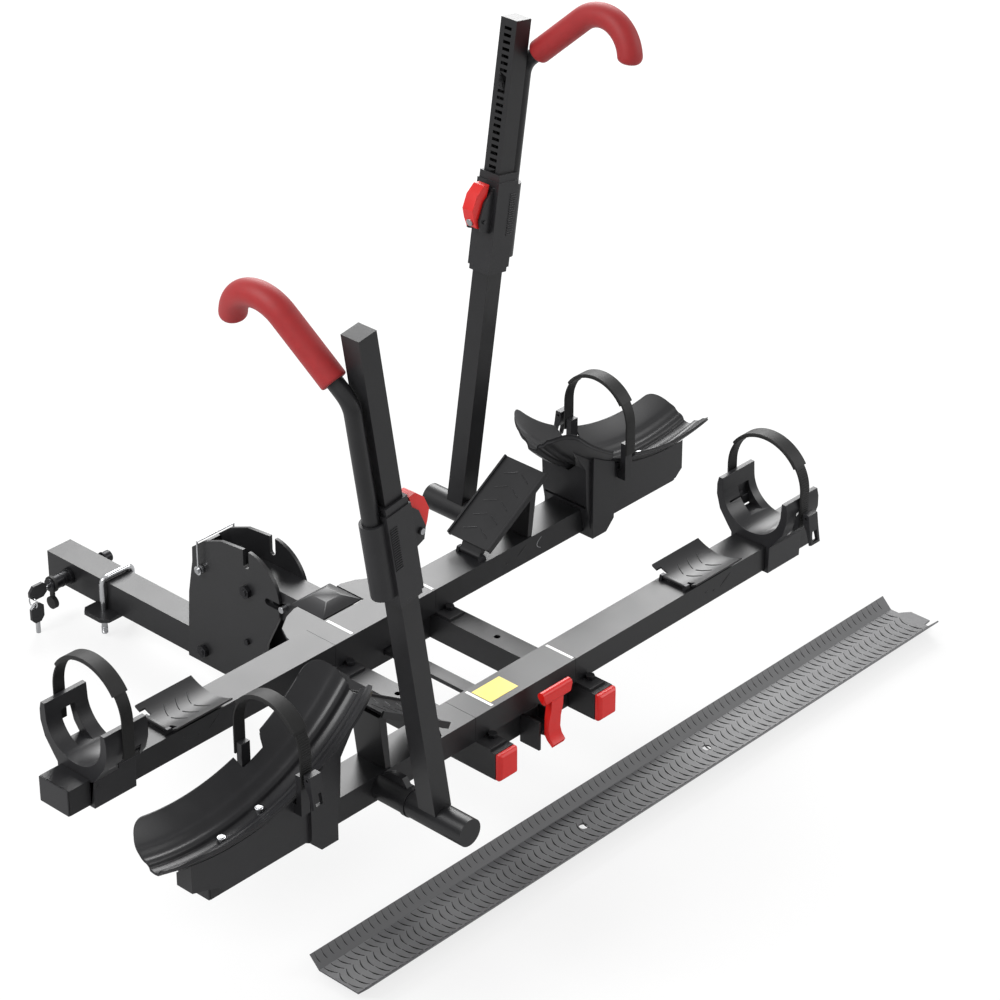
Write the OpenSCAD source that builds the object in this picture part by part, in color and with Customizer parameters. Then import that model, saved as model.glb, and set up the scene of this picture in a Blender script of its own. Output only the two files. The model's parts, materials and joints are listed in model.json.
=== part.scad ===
// Two-bike hitch rack: folding frame, two wheel beams, two hook masts, loose ramp.
// X runs along the wheel beams, +Y points to the vehicle, +Z is up.
// The origin is the centre of the hitch-pin hole in the square shank.

/* [Hitch shank] */
// Outside width and height of the square shank
shank_w = 50; // [48:0.5:52]
// Wall of the shank tube
shank_wall = 5; // [3:0.5:7]
// Shank length from the pin hole to the vehicle end
shank_front = 54; // [45:1:80]
// Shank length from the pin hole to the end between the plates
shank_back = 455; // [440:1:470]
// Diameter of the locking hitch pin
lock_d = 16; // [12:0.5:18]
// Barrel diameter of the hitch-pin lock
lock_head_d = 23; // [22:0.5:28]
// Distance of the clamp bolt behind the hitch pin
clamp_y = 89; // [80:1:120]
// Rod diameter of the clamp bolt
clamp_d = 10; // [8:0.5:12]

/* [Pivot plates] */
// Distance of the fold pivot behind the hitch pin
pivot_back = 435; // [425:1:440]
// Height of the fold pivot above the shank centre
pivot_up = 153; // [148:1:160]
// Radius of the round plate edge about the pivot
plate_r = 72; // [68:1:76]
// Thickness of each pivot plate
plate_t = 6; // [4:0.5:8]
// Diameter of the fold pivot bolt
pivot_d = 12; // [10:0.5:14]
// Diameter of the latch pin
latch_d = 11; // [8:0.5:11.5]

/* [Platform] */
// Width and height of the main tube
main_w = 50; // [44:0.5:50]
// Distance from the fold pivot to the middle of the platform
mid_back = 400.2; // [396:0.1:405]
// Half the distance between the two beams
half_space = 141.3; // [138:0.1:150]
// Beam width
beam_w = 60; // [54:0.5:64]
// Beam height
beam_h = 41; // [36:0.5:44]
// Height of the beam underside above the pivot
beam_lift = 29; // [28.8:0.1:34]
// Half length of a beam
beam_half = 638.6; // [630:0.5:650]
// Rail width
rail_w = 38; // [34:0.5:40]
// Rail height
rail_h = 44; // [38:0.5:46]
// Distance of each rail from the middle
rail_x = 106; // [104:0.5:108]

/* [Masts and hooks] */
// Distance of each mast pivot from the middle
mast_x = 313.4; // [308:0.2:318]
// Distance of the mast centre from the beam centre
mast_off = 133.5; // [128:0.5:140]
// Lean of the masts in degrees
mast_lean = 9.2; // [6:0.1:11]
// Mast tube width
mast_w = 32; // [28:0.5:33]
// Mast length above its pivot
mast_len = 800; // [780:1:820]
// Diameter of the mast hub tube
hub_d = 42; // [38:0.5:44]
// Diameter of the axle inside the hub
axle_d = 24; // [20:0.5:28]
// Length of the hook slider
slider_len = 152; // [146:1:158]
// Diameter of the hook tube
hook_d = 24; // [20:0.5:25]
// Diameter of the foam on the hook
foam_d = 38; // [34:0.5:42]

/* [Wheel holders] */
// Distance of the scoop's wheel centre from the middle
scoop_x = 610; // [606:1:616]
// Height of the scoop's valley above the beam
scoop_rise = 18; // [16:1:26]
// Radius of the scoop valley
scoop_r = 380; // [376:1:382]
// Half width of the scoop
scoop_half = 62; // [58:1:64]
// Depth of the scoop valley below its rims
scoop_deep = 44; // [38:1:48]
// Wall of the scoop
scoop_wall = 4; // [3:0.5:5]
// Distance of the small cradle from the middle
cradle_x = 561.5; // [555:0.5:566]
// Length of the small cradle along the beam
cradle_len = 77; // [70:1:84]
// Height of the small cradle's tops above the beam
cradle_h = 86; // [80:1:92]
// Width of the rubber straps
strap_w = 20; // [16:0.5:22]
// Thickness of the rubber straps
strap_t = 3.5; // [2.5:0.5:4.5]

/* [Rests and ramp] */
// Width of the folding rest plates
rest_w = 87; // [80:1:92]
// Length of the two flat rests
flat_len = 110; // [100:1:116]
// Length of the two raised rests
tall_len = 160; // [150:1:164]
// Slope of the raised rests in degrees
tall_tilt = 32; // [30:1:33]
// Ramp length
ramp_len = 1316.5; // [1200:0.5:1400]
// Ramp floor width
ramp_w = 78; // [70:1:90]

/* [Hidden] */
$fn = 64;

gap = 0.3;
fit = 0.1;
sw = shank_w / 2;
px = sw + gap;
po = px + plate_t;
py = -pivot_back;
pz = pivot_up;
mw = main_w / 2;
rail_top = pz + beam_lift - 4;
beam_z0 = pz + beam_lift;
beam_z1 = beam_z0 + beam_h;
beam_zc = beam_z0 + beam_h / 2;
bw = beam_w / 2;
mid_y = py - mid_back;
front_y = mid_y + half_space;
rear_y = mid_y - half_space;
joint_l = -124.5;
joint_r = 87.8;
rail_y0 = front_y + 66;
rail_y1 = mid_y - 209.8;
latch_out = plate_r + latch_d / 2 + 1;
latch_y = py - latch_out;
slot_w = latch_d + 1;
slot_r = 46;
mast_pz = beam_zc;
ms = mast_w / 2;
hub_y0 = -92;
hub_y1 = -197;
slide_in = ms + gap;
slide_out = slide_in + 6;
rear_s = 393;
front_s = rear_s + 16;
hook_x = -(slide_out + hook_d / 2 - 4.3);
scoop_z = beam_z1 + scoop_rise + scoop_r;
rest_z = beam_z1 + 5;
tall_x = 197;
flat_x = 344;
base_h = 46;
ramp_z = -68;
ramp_y = -1024;
ramp_x0 = -424.5;

module box(x0, x1, y0, y1, z0, z1) { translate([x0, y0, z0]) cube([x1 - x0, y1 - y0, z1 - z0]); }
module rod_x(d, x0, x1, y, z) { translate([x0, y, z]) rotate([0, 90, 0]) cylinder(d = d, h = x1 - x0); }
module rod_y(d, y0, y1, x, z) {
    translate([x, y0, z]) rotate([-90, 0, 0]) cylinder(d = d, h = y1 - y0);
}
module rod_z(d, z0, z1, x, y) { translate([x, y, z0]) cylinder(d = d, h = z1 - z0); }
module hex_x(af, x0, x1, y, z) {
    translate([x0, y, z]) rotate([0, 90, 0]) cylinder(d = af / cos(30), h = x1 - x0, $fn = 6);
}
module hex_z(af, z0, z1, x, y) {
    translate([x, y, z0]) cylinder(d = af / cos(30), h = z1 - z0, $fn = 6);
}
// a drawing in (y, z), made thick along X
module side_x(x0, x1) {
    translate([x0, 0, 0]) rotate([90, 0, 90]) linear_extrude(height = x1 - x0) children();
}
// a drawing in (x, z), made thick along Y
module side_y(y0, y1) {
    translate([0, y1, 0]) rotate([90, 0, 0]) linear_extrude(height = y1 - y0) children();
}
// a square tube along Y
module tube_y(w, h, wall, y0, y1, x, z) {
    difference() {
        box(x - w / 2, x + w / 2, y0, y1, z, z + h);
        box(x - w / 2 + wall, x + w / 2 - wall, y0 - 1, y1 + 1, z + wall, z + h - wall);
    }
}
// the same thing at the rear beam, and turned half round at the front beam
module at_rear() { translate([0, rear_y, 0]) children(); }
module at_front() { translate([0, 2 * mid_y - rear_y, 0]) rotate([0, 0, 180]) children(); }

// The hitch end
module hitch_shank() {
    color([0.09, 0.09, 0.10]) difference() {
        box(-sw, sw, -shank_back, shank_front, -sw, sw);
        box(-sw + shank_wall, sw - shank_wall, -shank_back - 1, shank_front + 1, -sw + shank_wall,
            sw - shank_wall);
        rod_x(lock_d + fit, -sw - 1, sw + 1, 0, 0);
        rod_x(pivot_d + fit, -sw - 1, sw + 1, -330, 0);
    }
}

module plate_outline() {
    polygon(concat(
        [[-450, -sw], [-292, -sw], [-292, -18], [-300, pz - 55], [-311, pz + 4], [-312, pz + 30],
         [-338, pz + 50], [-380, pz + 67]],
        [for (a = [86 : 6 : 206]) [py + plate_r * cos(a), pz + plate_r * sin(a)]],
        [[-475, 72], [-473, 61]]));
}
module pivot_plates() {
    color([0.08, 0.08, 0.09]) difference() {
        union() {
            side_x(-po, -px) plate_outline();
            side_x(px, po) plate_outline();
            side_x(-po, po) polygon([[-297.5, sw + 3], [-293.5 - plate_t - 2, sw + 3],
                [-300 - plate_t, pz - 55],
                [-311 - plate_t, pz + 4], [-312 - plate_t, pz + 30], [-312, pz + 30], [-311, pz + 4],
                [-300, pz - 55], [-295.5, sw + 3]]);
        }
        rod_x(pivot_d + fit, -po - 1, po + 1, py, pz);
        rod_x(pivot_d + fit, -po - 1, po + 1, -330, 0);
        rod_x(10 + fit, -po - 1, po + 1, -432, 60);
        rod_x(9.5 + fit, -po - 1, po + 1, -333, pz - 1);
        box(-po - 1, po + 1, py - slot_w / 2, py + slot_w / 2, pz + slot_r, pz + 120);
        rod_x(slot_w, -po - 1, po + 1, py, pz + slot_r);
        box(-po - 1, po + 1, py - 120, py - slot_r, pz - slot_w / 2, pz + slot_w / 2);
        rod_x(slot_w, -po - 1, po + 1, py - slot_r, pz);
    }
}
module bolt_x(d, af, y, z) {
    rod_x(d, -po - 10, po + 12, y, z);
    hex_x(af, -po - 8, -po - 0.3, y, z);
    hex_x(af, po + 0.3, po + 9, y, z);
}
module plate_bolts() {
    color([0.13, 0.13, 0.14]) {
        bolt_x(pivot_d, pivot_d + 7, py, pz);
        bolt_x(pivot_d, pivot_d + 7, -330, 0);
        rod_x(10, -po - 5, po + 6, -432, 60);
    }
}
module storage_pin() {
    color([0.75, 0.75, 0.78]) {
        rod_x(9.5, -po - 12, po + 12, -333, pz - 1);
        rod_x(14, -po - 5, -po - 0.3, -333, pz - 1);
    }
}
// square wire bail that swings on the storage pin
module pin_wire() {
    wy = -333;
    wz = pz - 1;
    color([0.80, 0.80, 0.82]) difference() {
        union() {
            for (s = [-1, 1]) {
                rod_x(15, s > 0 ? po + 6 : -po - 9.4, s > 0 ? po + 9.4 : -po - 6, wy, wz);
                rod_z(3, wz + 5, wz + 53.5, s * (po + 7.7), wy);
            }
            rod_x(3, -po - 7.7, po + 7.7, wy, wz + 52);
        }
        rod_x(9.5 + fit, -po - 20, po + 20, wy, wz);
    }
}
module lock_pin() {
    color([0.12, 0.12, 0.13]) {
        rod_x(lock_d, -40, 46, 0, 0);
        rod_x(lock_d + 4, 45, 61, 0, 0);
        rod_x(lock_d + 7, 45, 48, 0, 0);
    }
}
module lock_head() {
    color([0.10, 0.10, 0.11]) difference() {
        union() {
            rod_x(lock_head_d, -70, -30, 0, 0);
            rod_x(lock_head_d + 5, -32, -sw - gap, 0, 0);
            rod_x(lock_head_d + 1.5, -47, -44, 0, 0);
            rod_x(lock_head_d + 1.5, -41, -38, 0, 0);
        }
        rod_x(lock_d + fit, -41, -20, 0, 0);
        rod_x(8, -71, -52, 0, 0);
    }
}
module dust_cap() {
    color([0.05, 0.05, 0.05]) {
        difference() {
            rod_x(lock_head_d + 5, -66, -61, 0, 0);
            rod_x(lock_head_d + fit, -67, -60, 0, 0);
        }
        box(-66, -61, -4, 4, -26, -13);
        rod_x(22, -68, -60, 0, -34);
    }
}
module key_shape() {
    difference() {
        side_y(-2.6, 2.6) polygon([[-76, -6], [-76, 6], [-84, 13], [-104, 13], [-112, 4], [-112, -5],
            [-104, -13], [-84, -13]]);
        rod_y(5.5, -5, 5, -104.5, -6.5);
    }
    rod_x(7.8, -77, -56, 0, 0);
}
module lock_key() { color([0.10, 0.10, 0.10]) key_shape(); }
module spare_key() {
    color([0.70, 0.70, 0.72]) {
        translate([-104.5, 0, -17.2]) rotate([0, 90, 0]) rotate_extrude() translate([9.6,
            0]) circle(d = 2.2);
        translate([-98, 0, -132.3]) rotate([0, 90, 0]) key_shape();
    }
}
module clamp_u_bolt() {
    cx = sw + gap + clamp_d / 2 + 1.7;
    top = sw + gap + clamp_d / 2 + 1;
    rb = 10;
    color([0.78, 0.78, 0.80]) translate([0, -clamp_y, 0]) {
        for (s = [-1, 1]) {
            rod_z(clamp_d, -69, top - rb, s * cx, 0);
            translate([s * (cx - rb), 0, top - rb]) rotate([90, 0, 0]) rotate([0, 0, s > 0 ? 0 : 90])
                rotate_extrude(angle = 90) translate([rb, 0]) circle(d = clamp_d);
        }
        rod_x(clamp_d, -cx + rb, cx - rb, 0, top);
    }
}
module clamp_plate() {
    cx = sw + gap + clamp_d / 2 + 1.7;
    color([0.08, 0.08, 0.09]) difference() {
        union() {
            translate([0, -clamp_y, -sw - 6.3]) linear_extrude(height = 6)
                polygon([[-58, -20], [-48, -31], [48, -31], [58, -20], [58, 18], [48, 28], [-48, 28],
                    [-58, 18]]);
            box(-46, 46, -clamp_y + 24, -clamp_y + 28, -sw - 15, -sw - 3);
        }
        for (s = [-1, 1]) rod_z(clamp_d + fit, -sw - 20, -sw + 5, s * cx, -clamp_y);
    }
}
module clamp_nuts() {
    cx = sw + gap + clamp_d / 2 + 1.7;
    color([0.72, 0.72, 0.74]) for (s = [-1, 1]) difference() {
        union() {
            rod_z(22, -sw - 9, -sw - 6.6, s * cx, -clamp_y);
            hex_z(17, -sw - 17.5, -sw - 8.9, s * cx, -clamp_y);
        }
        rod_z(clamp_d + fit, -sw - 20, -sw - 2, s * cx, -clamp_y);
    }
}

// The platform
module main_tube() {
    color([0.09, 0.09, 0.10]) difference() {
        tube_y(main_w, main_w, 4, front_y + 22.3, py + 28, 0, pz - mw);
        rod_x(pivot_d + fit, -mw - 1, mw + 1, py, pz);
        for (dy = [0, 22]) rod_x(latch_d + 0.4, -mw - 1, mw + 1, latch_y + dy, pz);
        box(-mw - 1, mw + 1, latch_y, latch_y + 22, pz - latch_d / 2 - 0.2, pz + latch_d / 2 + 0.2);
    }
}
module cross_plate() {
    h = [[50, -558], [73, -566], [101, -585], [115, -610], [118, -640]];
    dy = mid_y + 835.2;
    color([0.09, 0.09, 0.10]) translate([0, dy, rail_top]) linear_extrude(height = 4) polygon(concat(
        [[118, -690], [-118, -690]],
        [for (i = [4 : -1 : 0]) [-h[i][0], h[i][1]]],
        [[-41.5, -558], [-41.5, -617], [41.5, -617], [41.5, -558]],
        h));
}
module pyramid_cover() {
    cy = mid_y + 257.2;
    color([0.06, 0.06, 0.06]) hull() {
        box(-41, 41, cy - 34, cy + 34, rail_top + gap, rail_top + 3);
        box(-16, 16, cy - 16, cy + 16, rail_top + 3, rail_top + 15);
    }
}
module frame_rails() {
    color([0.09, 0.09, 0.10]) for (s = [-1, 1]) difference() {
        tube_y(rail_w, rail_h, 2.5, rail_y1, rail_y0, s * rail_x, rail_top - rail_h);
        rod_z(10, rail_top - 5, rail_top + 5, s * rail_x, mid_y + 2);
        for (p = platform_bolt_at) rod_z(8 + fit, rail_top - 5, rail_top + 5, p[0], p[1]);
    }
}
platform_bolt_at = [[-rail_x + 5, front_y - 37], [rail_x + 5, front_y - 37],
    [-rail_x + 8, rear_y - 38], [rail_x + 5, rear_y - 38]];
module rail_caps() {
    color([0.80, 0.10, 0.10]) for (s = [-1, 1]) {
        hull() {
            box(s * rail_x - rail_w / 2, s * rail_x + rail_w / 2, rail_y1 - 7, rail_y1 - gap,
                rail_top - rail_h, rail_top);
            box(s * rail_x - rail_w / 2 + 4, s * rail_x + rail_w / 2 - 4, rail_y1 - 11, rail_y1 - gap,
                rail_top - rail_h + 4, rail_top - 4);
        }
        box(s * rail_x - rail_w / 2 + 2.8, s * rail_x + rail_w / 2 - 2.8, rail_y1 - 1, rail_y1 + 16,
            rail_top - rail_h + 2.8, rail_top - 2.8);
    }
}
module cross_members() {
    xm = rail_x - rail_w / 2 - gap;
    color([0.09, 0.09, 0.10]) for (c = [front_y - 0.3, rear_y + 2]) difference() {
        box(-xm, xm, c - 18, c + 22, rail_top - 44, rail_top);
        box(-xm - 1, xm + 1, c - 15, c + 19, rail_top - 41, rail_top - 3);
        box(-13, 13, c - 30, c + 30, pz - 5, pz + 6);
    }
}
module beam_box(x0, x1, y) {
    difference() {
        box(x0, x1, y - bw, y + bw, beam_z0, beam_z1);
        box(x0 - 1, x1 + 1, y - bw + 2.5, y + bw - 2.5, beam_z0 + 2.5, beam_z1 - 2.5);
    }
}
module centre_beams() {
    color([0.09, 0.09, 0.10]) difference() {
        union() {
            for (y = [front_y, rear_y]) {
                beam_box(joint_l + 0.2, joint_r - 0.2, y);
                difference() {
                    for (x = [joint_l, joint_r]) box(x - 25, x + 25, y - bw + 2.8, y + bw - 2.8,
                        beam_z0 + 2.8, beam_z1 - 2.8);
                    box(joint_l - 40, joint_r + 40, y - bw + 6, y + bw - 6, beam_z0 + 6, beam_z1 - 6);
                }
                for (x = [joint_l, joint_r]) difference() {
                    box(min(x, x + sign(-x) * 25), max(x, x + sign(-x) * 25), y - bw + 2, y + bw - 2,
                        beam_z0 + 2, beam_z1 - 2);
                    box(joint_l - 1, joint_r + 1, y - bw + 6, y + bw - 6, beam_z0 + 6, beam_z1 - 6);
                }
            }
            box(-rail_x - 19, -rail_x + 13, front_y - 59, front_y + 3, rail_top, beam_z0);
            box(-rail_x - 19, -rail_x + 13, rear_y - 59, rear_y + 26, rail_top, beam_z0);
        }
        for (p = platform_bolt_at) rod_z(8 + fit, rail_top - 5, beam_z0 + 0.5, p[0], p[1]);
    }
}
module beam_arms() {
    color([0.09, 0.09, 0.10]) difference() {
        union() {
            for (y = [front_y, rear_y]) {
                beam_box(-beam_half, joint_l - 0.3, y);
                beam_box(joint_r + 0.3, beam_half, y);
            }
            box(joint_r + 1, rail_x + 14, front_y - 59, front_y + 3, rail_top, beam_z0);
            box(joint_r + 1, rail_x + 14, rear_y - 59, rear_y + 26, rail_top, beam_z0);
        }
        for (p = platform_bolt_at) rod_z(8 + fit, rail_top - 5, beam_z0 + 0.5, p[0], p[1]);
    }
}
module beam_caps() {
    color([0.05, 0.05, 0.05]) for (y = [front_y, rear_y]) for (s = [-1, 1]) {
        box(s > 0 ? beam_half + 0.2 : -beam_half - 3, s > 0 ? beam_half + 3 : -beam_half - 0.2,
            y - bw, y + bw, beam_z0, beam_z1);
        box(s > 0 ? beam_half - 14 : -beam_half - 1, s > 0 ? beam_half + 1 : -beam_half + 14,
            y - bw + 2.8, y + bw - 2.8, beam_z0 + 2.8, beam_z1 - 2.8);
    }
}
module platform_bolts() {
    color([0.15, 0.15, 0.16]) for (p = platform_bolt_at) {
        hex_z(13, beam_z0 + gap, beam_z0 + 6, p[0], p[1]);
        rod_z(8, beam_z0 - 16, beam_z0 + 1, p[0], p[1]);
    }
}
module mast_pivot() {
    rod_y(hub_d, hub_y0 + gap, -bw, -mast_x, mast_pz);
    rod_y(axle_d, hub_y1 + 12, hub_y0 + 1, -mast_x, mast_pz);
    rod_y(hub_d + 3, hub_y0 + gap, hub_y0 + 8, -mast_x, mast_pz);
    side_x(-mast_x - 5, -mast_x + 5) polygon([[-bw, mast_pz], [-bw, mast_pz + 19], [-bw - 22,
        mast_pz + 34],
        [-bw - 44, mast_pz + 34], [-bw - 56, mast_pz + 18], [-bw - 56, mast_pz]]);
}
module mast_pivots() {
    color([0.08, 0.08, 0.09]) {
        at_rear() mast_pivot();
        at_front() mast_pivot();
    }
}
module latch_pin() {
    color([0.70, 0.70, 0.72]) {
        rod_x(latch_d, -po - 4, po + 4, latch_y, pz);
    }
}
module release_rod() {
    color([0.10, 0.10, 0.11]) box(-12, 12, rear_y - 56, latch_y - latch_d / 2 - 0.1, pz - 3, pz + 4);
}
module rod_guide() {
    y0 = rear_y - 54;
    y1 = rear_y - 16 - gap;
    color([0.09, 0.09, 0.10]) difference() {
        box(-17, 22, y0, y1, pz - 29, pz + 19);
        box(-12.5, 17.8, y0 - 1, y1 - 4, pz - 40, pz + 30);
        box(-12.5, 12.5, y0 - 1, y1 + 1, pz - 3.5, pz + 4.5);
    }
}
// T handle on a bent neck at the end of the release rod
module tilt_handle() {
    hy = rear_y - 65.5;
    color([0.82, 0.10, 0.10]) {
        hull() {
            rod_x(13, -26, 34, hy, pz + 73);
            rod_x(13, -22, 30, hy - 1, pz + 64);
        }
        side_x(-8, 17) polygon([[hy - 5, pz + 66], [hy + 5, pz + 66], [hy + 7, pz + 44], [hy + 9.3,
            pz + 22],
            [hy + 9.3, pz - 4], [hy + 4, pz - 12], [hy - 6, pz - 20], [hy - 9, pz - 14], [hy - 2, pz - 6],
            [hy + 1, pz + 4], [hy, pz + 22], [hy - 4, pz + 44]]);
    }
}

// The masts and hooks, drawn in the mast's own frame: X inward, Y to the bike, Z up the mast
module in_mast() { translate([-mast_x, -mast_off, mast_pz]) rotate([0, -mast_lean, 0]) children(); }
module mast() {
    in_mast() difference() {
        union() {
            translate([0, mast_off, 0]) rod_y(hub_d, hub_y1, hub_y0, 0, 0);
            box(-ms, ms, -ms, ms, hub_d / 2 - 6, mast_len);
        }
        box(-ms + 2.5, ms - 2.5, -ms + 2.5, ms - 2.5, hub_d / 2 + 6, mast_len - 3);
        translate([0, mast_off, 0]) rod_y(axle_d + fit, hub_y1 + 8, hub_y0 + 1, 0, 0);
        for (i = [0 : 35]) box(ms - 4, ms + 1, -7, 7, 404.5 + 10.8 * i, 409.5 + 10.8 * i);
    }
}
module front_mast() { color([0.09, 0.09, 0.10]) at_front() mast(); }
module rear_mast() { color([0.09, 0.09, 0.10]) at_rear() mast(); }

module slider(s0) {
    in_mast() translate([0, 0, s0]) difference() {
        union() {
            box(-slide_out, slide_out, -slide_out, slide_out, 0, slider_len - 12);
            box(-slide_out + 2, slide_out - 2, -slide_out + 2, slide_out - 2, -8, slider_len);
            rod_z(hook_d + 9, 12, slider_len - 22, hook_x, 0);
            box(hook_x, 0, -hook_d / 2 - 4.5, hook_d / 2 + 4.5, 12, slider_len - 22);
            for (s = [-1, 1]) side_y(s > 0 ? 11 : -15, s > 0 ? 15 : -11)
                polygon([[slide_in + 2, 58], [slide_out + 20, 64], [slide_out + 26, 82],
                    [slide_out + 18, 112], [slide_in + 2, 136]]);
            box(slide_out - 1, slide_out + 5, -15, 15, 96, 130);
        }
        box(-slide_in, slide_in, -slide_in, slide_in, -20, slider_len + 10);
        rod_z(hook_d + fit, 16, slider_len + 10, hook_x, 0);
        rod_y(6, -20, 20, slide_out + 16, 80);
    }
    in_mast() translate([0, 0, s0]) {
        rod_y(5.9, -18, 18, slide_out + 16, 80);
        rod_y(10, -18, -15.1, slide_out + 16, 80);
    }
}
module front_slider() { color([0.07, 0.07, 0.08]) at_front() slider(front_s); }
module rear_slider() { color([0.07, 0.07, 0.08]) at_rear() slider(rear_s); }

module trigger(s0) {
    tx = slide_out;
    in_mast() translate([0, 0, s0]) difference() {
        side_y(-10.6, 10.6) polygon([[tx + 8, 137], [tx + 20, 137], [tx + 34, 122], [tx + 40, 100],
            [tx + 34, 84],
            [tx + 26, 70], [tx + 12, 66], [tx + 6, 76], [tx + 7, 92], [tx + 14, 100]]);
        rod_y(6, -20, 20, tx + 16, 80);
    }
}
module front_trigger() { color([0.82, 0.10, 0.10]) at_front() trigger(front_s); }
module rear_trigger() { color([0.82, 0.10, 0.10]) at_rear() trigger(rear_s); }

// hook path in the mast frame: straight up, a bend to the bike, a slope, then over the top
hk_a = 43;
hk_b = 47;
hk_r1 = 40;
hk_r2 = 59;
hk_s0 = 299;
hk_y = 142;
hk_y1 = hk_r1 - hk_r1 * cos(hk_b);
hk_z1 = hk_r1 * sin(hk_b);
hk_y2 = hk_y - hk_r2 * sin(hk_a);
hk_z2 = hk_z1 + (hk_y2 - hk_y1) * tan(hk_a);
hk_l = (hk_y2 - hk_y1) / cos(hk_a);
hk_cz = hk_z2 - hk_r2 * cos(hk_a);
// swings a drawing in (radius, X) round an arc in the (y, s) plane
module arc_ys(cy, cz, a0, sweep) {
    translate([0, cy, cz]) rotate([90, 0, 90]) rotate([0, 0,
        a0]) rotate_extrude(angle = sweep) children();
}
// each joint of two stretches sits inside a hair-thin collar
module hook_line(d, from_slope, sweep) {
    if (from_slope == 0) {
        rod_z(d, 16.5 - hk_s0, -0.1, 0, 0);
        rod_z(d + 0.2, -0.6, 0.6, 0, 0);
        arc_ys(hk_r1, 0, 180 - hk_b, hk_b) translate([hk_r1, 0]) circle(d = d);
    }
    translate([0, hk_y1, hk_z1]) rotate([-90 + hk_a, 0, 0]) {
        translate([0, 0, from_slope + 0.1]) cylinder(d = d, h = hk_l - from_slope - 0.2);
        if (from_slope == 0) translate([0, 0, -0.6]) cylinder(d = d + 0.2, h = 1.2);
        translate([0, 0, hk_l - 0.6]) cylinder(d = d + 0.2, h = 1.2);
    }
    arc_ys(hk_y, hk_cz, 90 + hk_a - sweep, sweep) translate([hk_r2, 0]) circle(d = d);
}
module hook(s0) { in_mast() translate([hook_x, 0, s0 + hk_s0]) hook_line(hook_d, 0, 124); }
module foam(s0) {
    in_mast() translate([hook_x, 0, s0 + hk_s0]) difference() {
        hook_line(foam_d, 17, 131);
        hook_line(hook_d + fit, 0, 124.3);
    }
}
module front_hook() { color([0.10, 0.10, 0.11]) at_front() hook(front_s); }
module rear_hook() { color([0.10, 0.10, 0.11]) at_rear() hook(rear_s); }
module front_foam() { color([0.72, 0.15, 0.18]) at_front() foam(front_s); }
module rear_foam() { color([0.72, 0.15, 0.18]) at_rear() foam(rear_s); }

// The wheel scoops
function dip(h) = scoop_r - scoop_deep * pow(abs(h) / scoop_half, 1.7) + (abs(h) < 9 ? 4 : 0);
hs = [for (i = [-15 : 15]) i * scoop_half / 15];
// underside of the scoop, with room for the base below it
function scoop_under(h) = scoop_r - scoop_deep * pow(abs(h) / scoop_half, 1.7) + scoop_wall
    + 1.5 * abs(h) / scoop_half + (abs(h) < 20 ? 4.3 : 1.2);
under_hs = [for (h = [-1, -0.8, -0.6, -0.4, -0.16, 0.16, 0.4, 0.6, 0.8, 1]) h * (scoop_half + 2)];
module about_axle(a0, sweep) {
    translate([-scoop_x, 0, scoop_z]) rotate([90, 0, 0]) rotate([0, 0,
        a0 - 90]) rotate_extrude(angle = sweep) children();
}
// plan of the scoop: a broad round outer end, a strap notch and a tapered inner end
module scoop_plan() {
    square_x(-60, 108, scoop_half);
    square_x(-98, -59, scoop_half - 38);
    square_x(100, 156, scoop_half - 13);
    square_x(150, 232, scoop_half);
    square_x(232, 278, 18);
    for (s = [-1, 1]) {
        translate([-60, s * (scoop_half - 38)]) circle(r = 38);
        translate([232, s * 18]) circle(r = scoop_half - 18);
    }
}
module square_x(x0, x1, h) { translate([x0, -h]) square([x1 - x0, 2 * h]); }
module scoop() {
    intersection() {
        about_axle(-21, 66.5) polygon(concat([for (h = hs) if (h != 0) [dip(h), h]],
            [for (i = [30 : -1 : 0]) if (i != 15)
                [dip(hs[i]) + scoop_wall + 1.5 * abs(hs[i]) / scoop_half, hs[i]]]));
        translate([-scoop_x, 0, beam_z0]) linear_extrude(height = 400) scoop_plan();
    }
}
module drilled_scoop() {
    difference() {
        scoop();
        for (x = bolt_xs) rod_z(9, beam_z1 - 5, beam_z1 + 60, x, 0);
    }
}
module front_scoop() { color([0.06, 0.06, 0.06]) at_front() drilled_scoop(); }
module rear_scoop() { color([0.06, 0.06, 0.06]) at_rear() drilled_scoop(); }
bolt_xs = [-scoop_x + 22, -scoop_x + 92];
function valley_z(x) = scoop_z - sqrt(pow(scoop_r + 4, 2) - pow(abs(x + scoop_x) + 9, 2)) + 2.2;
module scoop_bolts() {
    for (x = bolt_xs) {
        rod_z(8, beam_z1 + 4, valley_z(x) + 1, x, 0);
        rod_z(12.4, valley_z(x), valley_z(x) + 3, x, 0);
        rod_z(9, valley_z(x) + 2.9, valley_z(x) + 4.2, x, 0);
    }
}
module front_scoop_bolts() { color([0.75, 0.75, 0.77]) at_front() scoop_bolts(); }
module rear_scoop_bolts() { color([0.75, 0.75, 0.77]) at_rear() scoop_bolts(); }

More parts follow.
